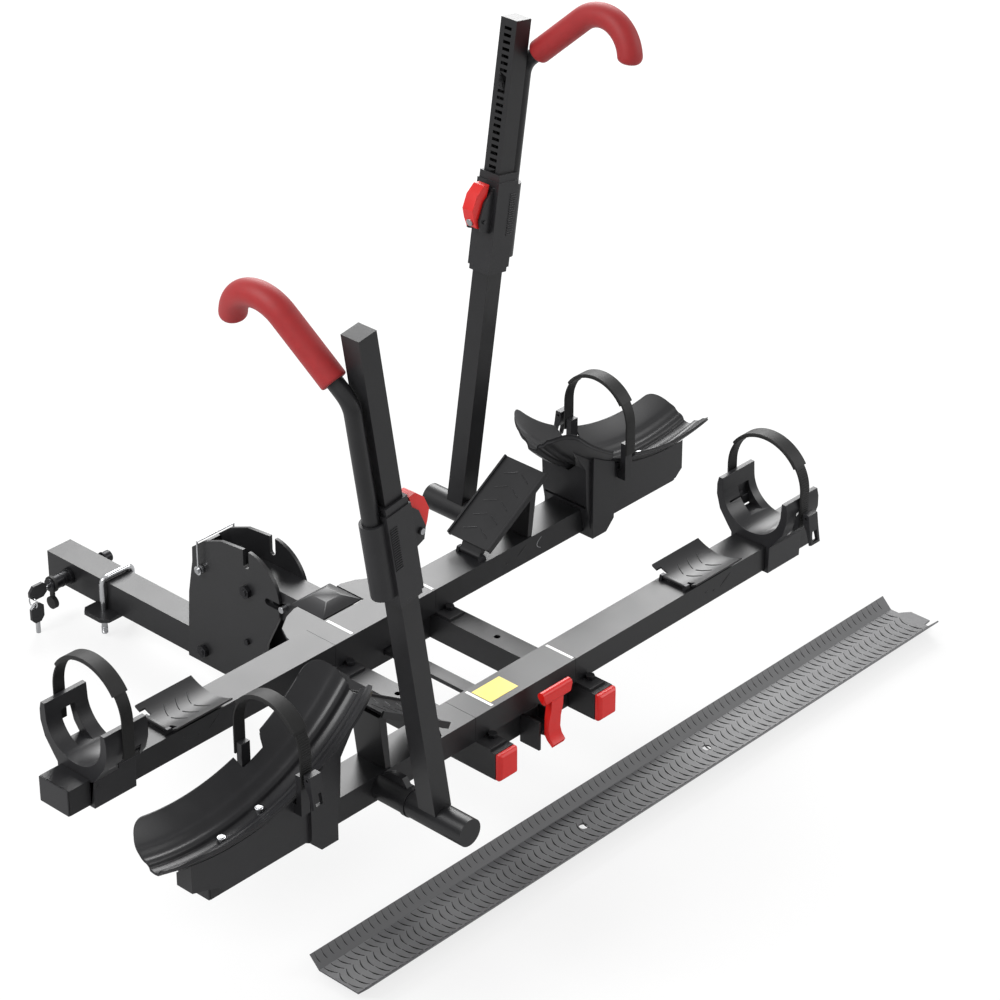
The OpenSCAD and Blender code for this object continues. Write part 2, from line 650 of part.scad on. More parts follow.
module scoop_base() {
    dz = beam_z1 - 223;
    dx = 610 - scoop_x;
    difference() {
        union() {
            translate([dx, 0, dz]) side_y(-base_h, base_h) polygon([[-684, 340], [-684, 224], [-638, 210], [-625, 199],
                [-478, 198], [-469, 193], [-452, 176], [-420, 176], [-420, 190], [-410, 239], [-407,
                    303], [-373, 353], [-373, 420]]);
            translate([dx, 0, dz]) side_y(-base_h - 5, base_h + 5) polygon([[-470, 194], [-452, 176],
                [-420, 176], [-420, 400], [-470, 400]]);
        }
        about_axle(-60, 120) polygon(concat([[150, -scoop_half - 2]],
            [for (h = under_hs) [scoop_under(abs(h) < 12 ? 0 : h), h]],
            [[150, scoop_half + 2]]));
        box(-beam_half - 4, -300, -bw - gap, bw + gap, beam_z0 - gap, beam_z1 + gap);
        translate([dx, 0, 0]) {
            box(-beam_half - 14, -479, -bw - gap, bw + gap, beam_z0 - 30, beam_z1 + gap);
            box(-624, -480, -base_h + 6, base_h - 6, beam_z0 - 30, beam_z1 + gap);
            box(-760, -640, -16, base_h + 10, beam_z0 - 30, beam_z1 + 200);
            box(-680, -644, -base_h + 4, -20, beam_z1 + 5, beam_z1 + 120);
            box(-504, -474, -base_h + 4, base_h - 4, beam_z1 + 6, beam_z1 + 120);
            box(-466, -411, -base_h + 4, base_h - 4, beam_z1 + 6, beam_z1 + 160);
        }
    }
}
module drilled_base() {
    difference() {
        scoop_base();
        for (x = bolt_xs) rod_z(8.5, beam_z1 + 3.5, beam_z1 + 60, x, 0);
    }
    // ears that carry the strap's feet
    ear = scoop_half + 0.1;
    for (s = [0, 1]) mirror([0, s, 0]) side_x(scoop_strap_x - 8, scoop_strap_x + 8)
        polygon([[base_h - 1, beam_z1 + 36], [ear, beam_z1 + 36], [ear, beam_z1 + 100],
            [ear - 10, beam_z1 + 100], [ear - 10, beam_z1 + 52], [base_h - 1, beam_z1 + 52]]);
}
module front_scoop_base() { color([0.07, 0.07, 0.07]) at_front() drilled_base(); }
module rear_scoop_base() { color([0.07, 0.07, 0.07]) at_rear() drilled_base(); }

// a rubber strap that arches over a wheel, with the buckle's ears at its near end
module strap(x, half, foot, apex) {
    r = half;
    cz = apex - r - strap_t;
    near = -half - strap_t;
    difference() {
        union() {
            rod_x(2 * r + 2 * strap_t, x - strap_w / 2, x + strap_w / 2, 0, cz);
            intersection() {
                rod_x(2 * r + 2 * strap_t + 6, x - strap_w / 2 - 4, x + strap_w / 2 + 4, 0, cz);
                side_x(x - 20, x + 20) polygon([[0, cz], [-200, cz + 120], [-200, cz + 400], [200,
                    cz + 400], [200, cz + 120]]);
            }
            box(x - strap_w / 2, x + strap_w / 2, -half - strap_t, half + strap_t, foot, cz);
        }
        rod_x(2 * r, x - 30, x + 30, 0, cz);
        box(x - 30, x + 30, -half, half, foot - 100, cz);
        box(x - 30, x + 30, -half - 30, half + 30, foot - 200, foot);
    }
    for (s = [-1, 1]) side_x(s > 0 ? x + 11 : x - 14, s > 0 ? x + 14 : x - 11)
        polygon([[near + 1, foot + 8], [near - 16, foot + 12], [near - 18, foot + 24], [near - 10,
            foot + 38], [near + 1, foot + 40]]);
    box(x - 14, x + 14, near - 1.5, near + 1, foot + 4, foot + 44);
    rod_x(4, x - 14, x + 14, near - 11, foot + 20);
}
// the buckle's lever, hung on the pin between the ears
module buckle(x, half, foot) {
    near = -half - strap_t;
    difference() {
        side_x(x - 10.6, x + 10.6) polygon([[near - 5.5, foot + 27], [near - 16.5, foot + 27],
            [near - 19, foot + 8],
            [near - 24, foot - 22], [near - 19, foot - 24], [near - 13, foot - 2], [near - 5.5,
                foot + 12]]);
        rod_x(4 + fit, x - 20, x + 20, near - 11, foot + 20);
        box(x - 6, x + 6, near - 30, near - 12, foot - 18, foot - 1);
    }
}
scoop_strap_x = -scoop_x + 120;
scoop_strap_foot = beam_z1 + 82;
module front_scoop_strap() {
    color([0.05, 0.05, 0.05]) at_front() strap(scoop_strap_x, scoop_half + 0.4, scoop_strap_foot, beam_z1 + 197);
}
module rear_scoop_strap() {
    color([0.05, 0.05, 0.05]) at_rear() strap(scoop_strap_x, scoop_half + 0.4, scoop_strap_foot, beam_z1 + 197);
}
module front_scoop_buckle() {
    color([0.05, 0.05, 0.05]) at_front() buckle(scoop_strap_x, scoop_half + 0.4, scoop_strap_foot);
}
module rear_scoop_buckle() {
    color([0.05, 0.05, 0.05]) at_rear() buckle(scoop_strap_x, scoop_half + 0.4, scoop_strap_foot);
}

// The small cradles
cz1 = beam_z1 + cradle_h;
module cradle() {
    x0 = cradle_x - cradle_len / 2;
    x1 = cradle_x + cradle_len / 2;
    difference() {
        side_x(x0, x1) polygon(concat(
            [[-37, beam_z0 - 4], [37, beam_z0 - 4], [38, beam_z1], [46, beam_z1 + 10], [62,
                beam_z1 + 32], [69, beam_z1 + 56],
             [69, cz1 - 12], [66, cz1], [58, cz1]],
            [for (a = [-4 : -8 : -176]) [57 * cos(a), beam_z1 + 68 + 54 * sin(a)]],
            [[-58, cz1], [-66, cz1], [-69, cz1 - 12], [-69, beam_z1 + 56], [-62, beam_z1 + 32], [-46,
                beam_z1 + 10], [-38, beam_z1]]));
        box(x0 - 1, x1 + 1, -bw - gap, bw + gap, beam_z0 - gap, beam_z1 + gap);
        box(cradle_x - 15, cradle_x + 11, -80, -20, beam_z1 + 18, beam_z1 + 64);
        box(cradle_x - 28, cradle_x + 6, 50, 80, beam_z1 + 20, beam_z1 + 44);
        rod_y(7, 0, 80, x1 - 8, beam_zc + 9);
    }
    rod_y(6.8, bw + 1, 38, x1 - 8, beam_zc + 9);
}
module front_cradle() { color([0.06, 0.06, 0.06]) at_front() cradle(); }
module rear_cradle() { color([0.06, 0.06, 0.06]) at_rear() cradle(); }
module front_cradle_strap() {
    color([0.05, 0.05, 0.05]) at_front() strap(cradle_x, 69.4, cz1 - 48, cz1 + 83);
}
module rear_cradle_strap() {
    color([0.05, 0.05, 0.05]) at_rear() strap(cradle_x, 69.4, cz1 - 48, cz1 + 83);
}
module front_cradle_buckle() { color([0.05, 0.05, 0.05]) at_front() buckle(cradle_x, 69.4, cz1 - 48); }
module rear_cradle_buckle() { color([0.05, 0.05, 0.05]) at_rear() buckle(cradle_x, 69.4, cz1 - 48); }

// The folding rests
// the raised rest hinges at its low end and stands on a leg
module tall_rest() {
    rw = rest_w / 2;
    hx = -tall_x;
    leg = 105;
    translate([hx, 0, rest_z]) mirror([1, 0, 0]) difference() {
        union() {
            rotate([0, -tall_tilt, 0]) {
                box(6, tall_len, -rw, rw, 18, 21.5);
                box(6, tall_len, -rw, -rw + 3.5, 15, 25);
                box(6, tall_len, rw - 3.5, rw, 15, 25);
            }
            side_y(-28, 28) polygon([[leg - 8, -4.7], [leg + 2, -4.7], [leg + 14, 86], [leg, 88]]);
            rod_y(9, -20, 20, 0, 0);
            side_y(-20, 20) polygon([[-2, 3], [3, -3], [24, 24], [10, 30]]);
        }
        rod_y(5 + fit, -30, 30, 0, 0);
    }
}
module front_tall_rest() { color([0.09, 0.09, 0.10]) at_front() tall_rest(); }
module rear_tall_rest() { color([0.09, 0.09, 0.10]) at_rear() tall_rest(); }
// the flat rest is a shallow trough that lies on the beam
module flat_rest() {
    rw = rest_w / 2;
    translate([flat_x, 0, rest_z]) difference() {
        union() {
            side_x(-2, flat_len - 4) polygon(concat(
                [for (i = [-8 : 8]) [rw * i / 8, 1 + 12 * pow(abs(i) / 8, 2)]],
                [for (i = [8 : -1 : -8]) [rw * i / 8, -2 + 12 * pow(abs(i) / 8, 2)]]));
            rod_y(7, -20, 20, 0, 0);
        }
        rod_y(5 + fit, -30, 30, 0, 0);
        for (s = [-1, 1]) box(-8, 8, s > 0 ? 20.3 : -34, s > 0 ? 34 : -20.3, -8, 14);
    }
}
module front_flat_rest() {
    color([0.09, 0.09, 0.10]) translate([-2 * flat_x - flat_len + 6, 2 * half_space, 0]) at_rear() flat_rest();
}
module rear_flat_rest() { color([0.09, 0.09, 0.10]) at_rear() flat_rest(); }
// low brackets on the beams that carry the rests' hinge pins
module rest_hinge(x) {
    for (s = [-1, 1]) difference() {
        side_y(s > 0 ? 20.4 : -26, s > 0 ? 26 : -20.4) polygon([[x - 7, beam_z1], [x + 7, beam_z1],
            [x + 4, rest_z + 3.6], [x - 4, rest_z + 3.6]]);
        rod_y(5, -30, 30, x, rest_z);
    }
    rod_y(5, -26, 26, x, rest_z);
}
module rest_hinges() {
    color([0.10, 0.10, 0.11]) {
        at_rear() rest_hinge(-tall_x);
        at_rear() rest_hinge(flat_x);
        at_front() rest_hinge(-tall_x);
        translate([-2 * flat_x - flat_len + 6, 2 * half_space, 0]) at_rear() rest_hinge(flat_x);
    }
}

// The loading ramp
module ramp() {
    rw = ramp_w / 2;
    x1 = ramp_x0 + ramp_len;
    color([0.15, 0.15, 0.16]) difference() {
        union() {
            side_x(ramp_x0, x1) polygon([[ramp_y - rw, ramp_z], [ramp_y + rw, ramp_z],
                [ramp_y + rw + 19, ramp_z + 19],
                [ramp_y + rw + 17.3, ramp_z + 20.7], [ramp_y + rw - 1, ramp_z + 2.4],
                    [ramp_y - rw + 1, ramp_z + 2.4],
                [ramp_y - rw - 17.3, ramp_z + 20.7], [ramp_y - rw - 19, ramp_z + 19]]);
            translate([x1 - 1, ramp_y - 7, ramp_z]) linear_extrude(height = 2.4)
                polygon([[0, -24], [17, -22], [17, 16], [8, 24], [0, 30]]);
        }
        for (x = [89, 375]) rod_z(14, ramp_z - 1, ramp_z + 5, x, ramp_y - 1);
    }
}

hitch_shank();
pivot_plates();
plate_bolts();
storage_pin();
pin_wire();
lock_pin();
lock_head();
dust_cap();
lock_key();
spare_key();
clamp_u_bolt();
clamp_plate();
clamp_nuts();
main_tube();
cross_plate();
pyramid_cover();
frame_rails();
rail_caps();
cross_members();
centre_beams();
beam_arms();
beam_caps();
platform_bolts();
mast_pivots();
latch_pin();
release_rod();
rod_guide();
tilt_handle();
front_scoop();
rear_scoop();
front_scoop_base();
rear_scoop_base();
front_scoop_bolts();
rear_scoop_bolts();
front_scoop_strap();
rear_scoop_strap();
front_scoop_buckle();
rear_scoop_buckle();
front_cradle();
rear_cradle();
front_cradle_strap();
rear_cradle_strap();
front_cradle_buckle();
rear_cradle_buckle();
front_tall_rest();
rear_tall_rest();
front_flat_rest();
rear_flat_rest();
rest_hinges();
front_mast();
rear_mast();
front_slider();
rear_slider();
front_trigger();
rear_trigger();
front_hook();
rear_hook();
front_foam();
rear_foam();
ramp();
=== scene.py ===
# %% [markdown]
# # A two-bike hitch rack, dressed over its solids
# The rack is a welded steel frame with two wheel beams, two masts with foam-covered hooks, moulded
# wheel holders and a loose loading ramp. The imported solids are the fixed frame. This file gives each
# of them rounded edges and a real finish, and adds what is too fine for the solids: the pressed
# dashes of the ramp, ridges, teeth, stripes and the soft pieces.

# %% Load the frame
import json
import math
import bmesh
import bpy
from mathutils import Matrix, Vector


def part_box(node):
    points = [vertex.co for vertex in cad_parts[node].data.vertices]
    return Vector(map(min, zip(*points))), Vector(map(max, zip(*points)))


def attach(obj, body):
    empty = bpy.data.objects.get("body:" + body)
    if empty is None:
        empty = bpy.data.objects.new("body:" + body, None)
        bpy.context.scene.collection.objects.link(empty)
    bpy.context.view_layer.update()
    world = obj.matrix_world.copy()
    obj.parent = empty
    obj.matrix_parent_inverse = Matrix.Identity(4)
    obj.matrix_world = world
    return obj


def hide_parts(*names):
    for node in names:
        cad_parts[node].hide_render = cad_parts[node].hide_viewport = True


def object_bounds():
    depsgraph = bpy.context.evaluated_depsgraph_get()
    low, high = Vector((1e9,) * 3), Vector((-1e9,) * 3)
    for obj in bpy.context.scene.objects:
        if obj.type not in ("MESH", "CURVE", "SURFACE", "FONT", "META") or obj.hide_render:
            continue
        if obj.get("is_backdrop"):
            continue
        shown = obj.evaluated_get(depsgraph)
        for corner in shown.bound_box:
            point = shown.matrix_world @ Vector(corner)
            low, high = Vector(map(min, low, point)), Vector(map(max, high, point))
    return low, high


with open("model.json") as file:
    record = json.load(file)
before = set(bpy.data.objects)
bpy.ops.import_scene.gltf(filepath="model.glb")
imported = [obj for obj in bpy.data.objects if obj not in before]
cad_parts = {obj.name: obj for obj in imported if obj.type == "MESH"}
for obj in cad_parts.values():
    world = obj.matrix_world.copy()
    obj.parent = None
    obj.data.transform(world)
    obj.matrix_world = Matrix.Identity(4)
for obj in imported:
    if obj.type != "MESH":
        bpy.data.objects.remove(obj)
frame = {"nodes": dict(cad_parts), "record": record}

MM = 0.001
cad_box = [list(corner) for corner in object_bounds()]
print("solids span", [round(b - a, 3) for a, b in zip(*cad_box)])

# %% [markdown]
# ## Where things are
# The origin is the hitch-pin hole, X runs along the beams, +Y to the vehicle and +Z up. Each half of
# the rack is the same thing: what is drawn once at a beam's middle is put at the rear beam, and
# turned half round at the front beam. The mast leans outward by 9.2 degrees from its own pivot.

# %% The two ends and the mast
AT = {
    "rear": Matrix.Translation((0, -976.5 * MM, 0)),
    "front": Matrix.Translation((0, -693.9 * MM, 0)) @ Matrix.Rotation(math.pi, 4, "Z"),
}
MAST_LEAN = 9.2
IN_MAST = (Matrix.Translation((-313.4 * MM, -133.5 * MM, 202.5 * MM))
           @ Matrix.Rotation(math.radians(-MAST_LEAN), 4, "Y"))
SLIDER_AT = {"rear": 393, "front": 409}


def mm(*values):
    """A place or a size that is written in millimetres."""
    return Vector(values) * MM


# %% [markdown]
# ## Finishes
# Every finish starts from what the real surface is. One helper turns a hex colour, as a picture
# program shows it, into the linear values that the shader works in. A second one adds a node with
# its settings, its constants and its links, and every material below is made with it.

# %% Colour and node helpers
def colour(code):
    """An sRGB hex value as a linear colour."""
    parts = [int(code[i : i + 2], 16) / 255 for i in (1, 3, 5)]
    return [p / 12.92 if p <= 0.04045 else ((p + 0.055) / 1.055) ** 2.4 for p in parts] + [1.0]


def add(tree, kind, values=None, feeds=None, **settings):
    """One node: its settings, then its constants, then its links."""
    made = tree.nodes.new(kind)
    for key, value in settings.items():
        setattr(made, key, value)
    for key, value in (values or {}).items():
        made.inputs[key].default_value = value
    for key, socket in (feeds or {}).items():
        tree.links.new(socket, made.inputs[key])
    return made


def surface(name, dark, light, grain, peel, peel_depth, rough, spread, **shader):
    """A finish whose colour and gloss drift over grain mm, with a skin of bumps peel mm apart."""
    made = bpy.data.materials.new(name)
    made.use_nodes = True
    tree = made.node_tree
    tree.nodes.clear()
    place = add(tree, "ShaderNodeTexCoord").outputs["Object"]
    cloud = add(tree, "ShaderNodeTexNoise",
                {"Scale": 1 / (grain * MM), "Detail": 4.0, "Roughness": 0.6}, {"Vector": place})
    drift = cloud.outputs["Fac"]
    tone = add(tree, "ShaderNodeMix", {6: colour(dark), 7: colour(light)}, {0: drift}, data_type="RGBA")
    gloss = add(tree, "ShaderNodeMapRange",
                {"To Min": rough - spread, "To Max": rough + spread}, {"Value": drift})
    skin = add(tree, "ShaderNodeTexNoise", {"Scale": 1 / (peel * MM), "Detail": 2.0}, {"Vector": place})
    bump = add(tree, "ShaderNodeBump",
               {"Strength": 0.6, "Distance": peel_depth * MM}, {"Height": skin.outputs["Fac"]})
    body = add(tree, "ShaderNodeBsdfPrincipled", shader, {
        "Base Color": tone.outputs[2], "Roughness": gloss.outputs[0], "Normal": bump.outputs[0]})
    add(tree, "ShaderNodeOutputMaterial", None, {"Surface": body.outputs[0]})
    return made


# %% [markdown]
# Powder coat is a baked plastic film: dark, satin, with a faint orange-peel skin of bumps about a
# millimetre wide. That skin is finer than a pixel here, so it is drawn 2.5 mm wide. The moulded
# nylon is duller and slightly greyer. Zinc and chrome are metals: their colour is what they reflect.

# %% The finishes of the rack
def shine(level):
    """How much a coat or a plastic mirrors at its surface."""
    return {"Specular IOR Level": level}


FINISH = {
    "black_powder_coat": surface("powder_coated_steel", "#1B1B1C", "#242426",
                                 45, 2.5, 0.04, 0.35, 0.04, **shine(0.42)),
    "black_plastic": surface("moulded_black_nylon", "#1F1F21", "#28282A",
                             30, 1.4, 0.04, 0.37, 0.05, **shine(0.42)),
    "black_rubber": surface("black_rubber", "#1B1B1B", "#232323",
                            14, 1.0, 0.05, 0.55, 0.06, **shine(0.35)),
    "red_plastic": surface("red_moulded_nylon", "#C81310", "#D61D18", 25, 1.4, 0.03, 0.34, 0.05),
    "red_foam": surface("red_nitrile_foam", "#8C1014", "#9E1619", 9, 0.9, 0.10, 0.58, 0.06,
                        **{"Sheen Weight": 0.08, "Sheen Roughness": 0.5}),
    "zinc_steel": surface("zinc_plated_steel", "#A9AAAD", "#C6C7C9",
                          8, 1.2, 0.02, 0.30, 0.06, Metallic=1.0),
    "bright_chrome": surface("chrome_plated_steel", "#CFD0D3", "#DDDEE0",
                             20, 3.0, 0.005, 0.16, 0.03, Metallic=1.0),
    "black_oxide_steel": surface("black_oxide_steel", "#1B1B1D", "#2B2B2E",
                                 7, 0.9, 0.03, 0.34, 0.06, Metallic=0.6),
    "dark_ramp_steel": surface("textured_ramp_coat", "#4A4A4C", "#565658",
                               55, 1.6, 0.06, 0.40, 0.05, **shine(0.45)),
}
# Near-black painted shade: the shade along the ramp's pressed dashes and inside the punched marks.
PAINTED_SHADE_COAT = surface("coat_in_the_pressings", "#0B0B0C", "#121213", 20, 1.6, 0.04, 0.52, 0.05)
WHITE_TAPE = surface("white_reflective_tape", "#E8E8E6", "#F2F2F0", 6, 1.0, 0.02, 0.35, 0.04)
YELLOW_PATCH = surface("blank_yellow_film", "#E3C93A", "#EBD34A", 8, 1.5, 0.01, 0.32, 0.04)
print(len(FINISH) + 3, "finishes")

# %% [markdown]
# ## Rounded edges on every solid
# Bent, sawn and moulded parts have no razor edges, and the thin light line along an edge is most of
# what tells the eye that a black part is real. Each solid is copied, its triangles are merged into
# flat faces, the edges are rounded by a Bevel modifier, and weighted normals keep the flats flat.

# %% Rounding and riding
def place(piece, finish, body, slot=None, stands_for=()):
    """Gives a finished mesh its material and its body; the record slot is not used."""
    if finish is not None:
        piece.data.materials.clear()
        piece.data.materials.append(finish)
    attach(piece, body)
    if stands_for:
        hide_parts(*stands_for)
    return piece


def settle(piece):
    """Applies the modifiers by taking the evaluated mesh, and drops them."""
    shown = piece.evaluated_get(bpy.context.evaluated_depsgraph_get())
    mesh = bpy.data.meshes.new_from_object(shown)
    piece.modifiers.clear()
    piece.data = mesh
    return piece


def object_from(name, mesh):
    piece = bpy.data.objects.new(name, mesh)
    bpy.context.scene.collection.objects.link(piece)
    return piece


def round_edges(piece, width, segments=2, angle=35):
    """Bevels the edges sharper than the angle, then weighs the normals by face area."""
    if width:
        bevel = piece.modifiers.new("round", "BEVEL")
        bevel.width, bevel.segments = width * MM, segments
        bevel.limit_method, bevel.angle_limit = "ANGLE", math.radians(angle)
        bevel.miter_outer = "MITER_ARC"
        settle(piece)
    for face in piece.data.polygons:
        face.use_smooth = True
    piece.data.set_sharp_from_angle(angle=math.radians(SHARP_ANGLE))
    weigh = piece.modifiers.new("weigh", "WEIGHTED_NORMAL")
    weigh.keep_sharp = True
    return settle(piece)


MERGE_DISTANCE, FLAT_ANGLE, SHARP_ANGLE = 0.02 * MM, 0.8, 46


def merged_copy(node):
    """A copy of a solid's mesh with its triangles merged into flat faces."""
    mesh = frame["nodes"][node].data.copy()
    shape = bmesh.new()
    shape.from_mesh(mesh)
    bmesh.ops.remove_doubles(shape, verts=shape.verts, dist=MERGE_DISTANCE)
    bmesh.ops.dissolve_limit(shape, angle_limit=math.radians(FLAT_ANGLE), verts=shape.verts,
                             edges=shape.edges)
    shape.to_mesh(mesh)
    shape.free()
    return mesh


BODY_OF = {node: body for body, nodes in frame["record"]["behaviour"]["bodies"].items() for node in nodes}


def block(name, low, high, where=Matrix.Identity(4)):
    """A plain box from two corners in millimetres."""
    shape = bmesh.new()
    bmesh.ops.create_cube(shape, size=1)
    size = mm(*[b - a for a, b in zip(low, high)])
    centre = mm(*[(a + b) / 2 for a, b in zip(low, high)])
    for v in shape.verts:
        v.co = where @ Vector([centre[i] + v.co[i] * size[i] for i in range(3)])
    mesh = bpy.data.meshes.new(name)
    shape.to_mesh(mesh)
    shape.free()
    return mesh


def carve(piece, low, high, where):
    """Cuts a box out of a piece."""
    tool = object_from("tool", block("tool", low, high, where))
    cut = piece.modifiers.new("cut", "BOOLEAN")
    cut.operation, cut.solver, cut.object = "DIFFERENCE", "EXACT", tool
    settle(piece)
    bpy.data.objects.remove(tool)


# The moulded recess inside a cradle, as two boxes in the beam's frame.
CRADLE_RECESS = (((559, 12, 243), (584, 54, 262)), ((559, 34, 261), (584, 60, 282)))


def soften(node, width, slot):
    """One solid with rounded edges, standing for its node."""
    piece = object_from(node + "_rounded", merged_copy(node))
    if node.endswith("_cradle"):
        for low, high in CRADLE_RECESS:
            carve(piece, low, high, AT[node.split("_")[0]])
    round_edges(piece, width)
    return place(piece, FINISH[slot], BODY_OF[node], slot, [node])


# %% [markdown]
# The widths are what the making leaves: about 1.5 to 2 mm outside a bent tube, under 1 mm on a
# punched plate, and 1 to 2 mm on moulded plastic.

# %% Round each solid
POWDER, NYLON, RUBBER, RED = "black_powder_coat", "black_plastic", "black_rubber", "red_plastic"
OXIDE, ZINC, CHROME = "black_oxide_steel", "zinc_steel", "bright_chrome"
ROUNDED = {
    "hitch_shank": (1.6, POWDER), "pivot_plates": (0.8, POWDER), "plate_bolts": (0.7, OXIDE),
    "storage_pin": (0.6, ZINC), "pin_wire": (0, CHROME), "lock_pin": (0.8, OXIDE),
    "lock_head": (0.7, OXIDE), "dust_cap": (0.7, RUBBER), "clamp_u_bolt": (0, CHROME),
    "clamp_plate": (1.2, POWDER), "clamp_nuts": (0.6, ZINC), "main_tube": (1.6, POWDER),
    "cross_plate": (0.9, POWDER), "pyramid_cover": (1.2, NYLON), "frame_rails": (1.0, POWDER),
    "rail_caps": (1.8, RED), "cross_members": (0.9, POWDER), "centre_beams": (1.0, POWDER),
    "beam_arms": (1.0, POWDER), "beam_caps": (1.0, NYLON), "platform_bolts": (0.7, OXIDE),
    "mast_pivots": (1.0, POWDER), "latch_pin": (0.6, ZINC), "release_rod": (0.5, POWDER),
    "rod_guide": (0.6, POWDER), "tilt_handle": (1.5, RED), "rest_hinges": (0.5, OXIDE),
    "ramp": (0.6, "dark_ramp_steel"),
}
for end in AT:
    ROUNDED.update({
        end + "_scoop_base": (2.2, NYLON), end + "_scoop_bolts": (0.5, ZINC),
        end + "_scoop_buckle": (1.0, NYLON), end + "_cradle": (1.8, NYLON),
        end + "_cradle_buckle": (1.0, NYLON), end + "_tall_rest": (0.9, POWDER),
        end + "_flat_rest": (0.6, POWDER), end + "_mast": (1.2, POWDER),
        end + "_slider": (1.4, NYLON), end + "_trigger": (1.4, RED), end + "_hook": (0.6, POWDER),
    })
for node, (width, slot) in ROUNDED.items():
    soften(node, width, slot)
print(len(ROUNDED), "solids rounded")

# %% [markdown]
# The keys are two finishes in one piece: a moulded head, and a plated tube that enters the lock. The
# faces of a copy are given one or the other by where they lie.

# %% The keys
def key_piece(node, is_metal):
    """A key whose faces are metal where is_metal says so of their centre in millimetres."""
    piece = object_from(node + "_rounded", merged_copy(node))
    round_edges(piece, 0.5)
    place(piece, None, BODY_OF[node], NYLON, [node])
    piece.data.materials.clear()
    piece.data.materials.append(FINISH[NYLON])
    piece.data.materials.append(FINISH[CHROME])
    for face in piece.data.polygons:
        face.material_index = 1 if is_metal(face.center / MM) else 0
    return piece


LOCK_KEY_TUBE_X = -77.5
RING_X, RING_LOW_Z, SPARE_TUBE = -104.5, -27.5, 20.5
spare_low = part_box("spare_key")[0].z / MM
key_piece("lock_key", lambda c: c.x > LOCK_KEY_TUBE_X)
key_piece("spare_key", lambda c: (c.z > RING_LOW_Z and abs(c.x - RING_X) < 3
                                  or c.z < spare_low + SPARE_TUBE))

# %% [markdown]
# ## A row of pressed or moulded ridges
# The ramp's dashes, the chevrons of the raised rests, the teeth of the straps and the ridges of the
# sliders are all one idea: a short rounded bar, straight or bowed, set out in a row. One Geometry
# Nodes tree makes it: a Bezier curve with three points is swept with a round profile that thins
# towards its ends, and it is repeated along a line. Its sizes are named inputs.

# %% The tree for a row of bars
def row_tree():
    tree = bpy.data.node_groups.new("row_of_bars", "GeometryNodeTree")
    face = tree.interface
    for name, kind in (("Count", "Int"), ("Step", "Vector"), ("Start", "Vector"), ("Middle", "Vector"),
                       ("End", "Vector"), ("Thickness", "Float"), ("Bow steps", "Int"),
                       ("Blunt", "Float"), ("Finish", "Material")):
        face.new_socket(name, in_out="INPUT", socket_type="NodeSocket" + kind)
    face.new_socket("Geometry", in_out="OUTPUT", socket_type="NodeSocketGeometry")
    given = add(tree, "NodeGroupInput").outputs
    bow = add(tree, "GeometryNodeCurveQuadraticBezier", None, {
        "Resolution": given["Bow steps"], "Start": given["Start"],
        "Middle": given["Middle"], "End": given["End"]})
    along = add(tree, "GeometryNodeSplineParameter").outputs["Factor"]
    turn = add(tree, "ShaderNodeMath", {1: math.pi}, {0: along}, operation="MULTIPLY")
    hump = add(tree, "ShaderNodeMath", None, {0: turn.outputs[0]}, operation="SINE")
    thin = add(tree, "ShaderNodeMath", None, {0: hump.outputs[0], 1: given["Blunt"]}, operation="MAXIMUM")
    radius = add(tree, "ShaderNodeMath", {1: 0.5}, {0: given["Thickness"]}, operation="MULTIPLY")
    ring = add(tree, "GeometryNodeCurvePrimitiveCircle", {"Resolution": 6}, {"Radius": radius.outputs[0]})
    bar = add(tree, "GeometryNodeCurveToMesh", {"Fill Caps": True}, {
        "Curve": bow.outputs[0], "Profile Curve": ring.outputs[0], "Scale": thin.outputs[0]})
    soft = add(tree, "GeometryNodeSetShadeSmooth", None, {"Geometry": bar.outputs[0]})
    line = add(tree, "GeometryNodeMeshLine", None, {"Count": given["Count"], "Offset": given["Step"]})
    rows = add(tree, "GeometryNodeInstanceOnPoints", None,
               {"Points": line.outputs[0], "Instance": soft.outputs[0]})
    real = add(tree, "GeometryNodeRealizeInstances", None, {"Geometry": rows.outputs[0]})
    dressed = add(tree, "GeometryNodeSetMaterial", None,
                  {"Geometry": real.outputs[0], "Material": given["Finish"]})
    add(tree, "NodeGroupOutput", None, {"Geometry": dressed.outputs[0]})
    return tree


ROWS = row_tree()
INPUT = {item.name: item.identifier
         for item in ROWS.interface.items_tree if item.in_out == "INPUT"}


def bars(count, step, start, middle, end, thick, slot,
         where=Matrix.Identity(4), bow=5, blunt=0.35):
    """The mesh of one row; places and sizes in millimetres."""
    host = object_from("row", bpy.data.meshes.new("row"))
    nodes = host.modifiers.new("rows", "NODES")
    nodes.node_group = ROWS
    for name, value in (("Count", count), ("Step", mm(*step)), ("Start", mm(*start)),
                        ("Middle", mm(*middle)), ("End", mm(*end)), ("Thickness", thick * MM),
                        ("Bow steps", bow), ("Blunt", blunt), ("Finish", FINISH[slot])):
        nodes[INPUT[name]] = value
    mesh = bpy.data.meshes.new_from_object(host.evaluated_get(bpy.context.evaluated_depsgraph_get()))
    bpy.data.objects.remove(host)
    mesh.transform(where)
    return mesh


def joined(name, meshes):
    """Several meshes of one finish as one object."""
    shape = bmesh.new()
    for mesh in meshes:
        shape.from_mesh(mesh)
    out = bpy.data.meshes.new(name)
    shape.to_mesh(out)
    shape.free()
    return object_from(name, out)


# %% [markdown]
# ## The ramp's pressed pattern
# The ramp is one sheet, folded up at both long sides and pressed all over so that a tyre grips it.
# Three rows of bowed dashes fill the floor, and one long ridge crosses each flange at every step of
# 13.4 mm, which is what the picture's spacing gives. They stand 1.4 mm proud, and their near-black
# colour is painted shade, standing for the shade along their sides.

# %% Dashes on the ramp
RAMP_X, RAMP_Y, RAMP_Z = -424.5, -1024, -65.9
STEPS, PITCH = 97, 13.45
RAMP = "dark_ramp_steel"
